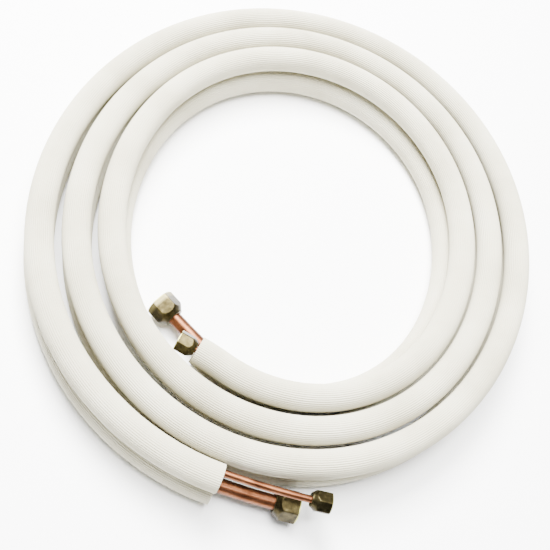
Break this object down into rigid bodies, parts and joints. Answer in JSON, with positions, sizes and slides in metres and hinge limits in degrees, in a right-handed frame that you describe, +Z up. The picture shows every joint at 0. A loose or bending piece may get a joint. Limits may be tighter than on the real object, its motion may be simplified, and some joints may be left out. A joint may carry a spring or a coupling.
{
  "type": "mini split line set",
  "caption": "Coiled pair of insulated copper refrigerant lines for a split air conditioner, with brass flare nuts on the ends.",
  "frame": {"origin": "middle of the coil's footprint, on the floor it lies on", "axes": "+Z up, along the axis of the coil; seen from above with +X to the right, the outer ends leave at the front left, towards +X"},
  "size_m": [0.4964, 0.5418, 0.0516],
  "materials": {
    "white_foam": "matte, finely ribbed along its length",
    "copper": "drawn copper, slightly tarnished",
    "brass": "dull forged brass"
  },
  "bodies": {
    "coil": {"liquid_line_insulation": "white_foam", "suction_line_insulation": "white_foam", "liquid_line_tube": "copper", "suction_line_tube": "copper"},
    "liquid_nut_outer": {"liquid_flare_nut_outer": "brass"},
    "liquid_nut_inner": {"liquid_flare_nut_inner": "brass"},
    "suction_nut_outer": {"suction_flare_nut_outer": "brass"},
    "suction_nut_inner": {"suction_flare_nut_inner": "brass"}
  },
  "joints": [
    {"name": "liquid_nut_outer_spin", "type": "hinge", "parent": "coil", "child": "liquid_nut_outer", "pos_m": [0.01352, -0.2555, 0.03907], "axis": [0.9855, -0.1697, 0], "continuous": true},
    {"name": "liquid_nut_inner_spin", "type": "hinge", "parent": "coil", "child": "liquid_nut_inner", "pos_m": [-0.09865, -0.13023, 0.03737], "axis": [-0.9007, 0.4344, 0], "continuous": true},
    {"name": "suction_nut_outer_spin", "type": "hinge", "parent": "coil", "child": "suction_nut_outer", "pos_m": [-0.0096, -0.25524, 0.0148], "axis": [0.9823, -0.1874, 0], "continuous": true},
    {"name": "suction_nut_inner_spin", "type": "hinge", "parent": "coil", "child": "suction_nut_inner", "pos_m": [-0.11557, -0.09062, 0.0148], "axis": [-0.7071, 0.7071, 0], "continuous": true}
  ]
}
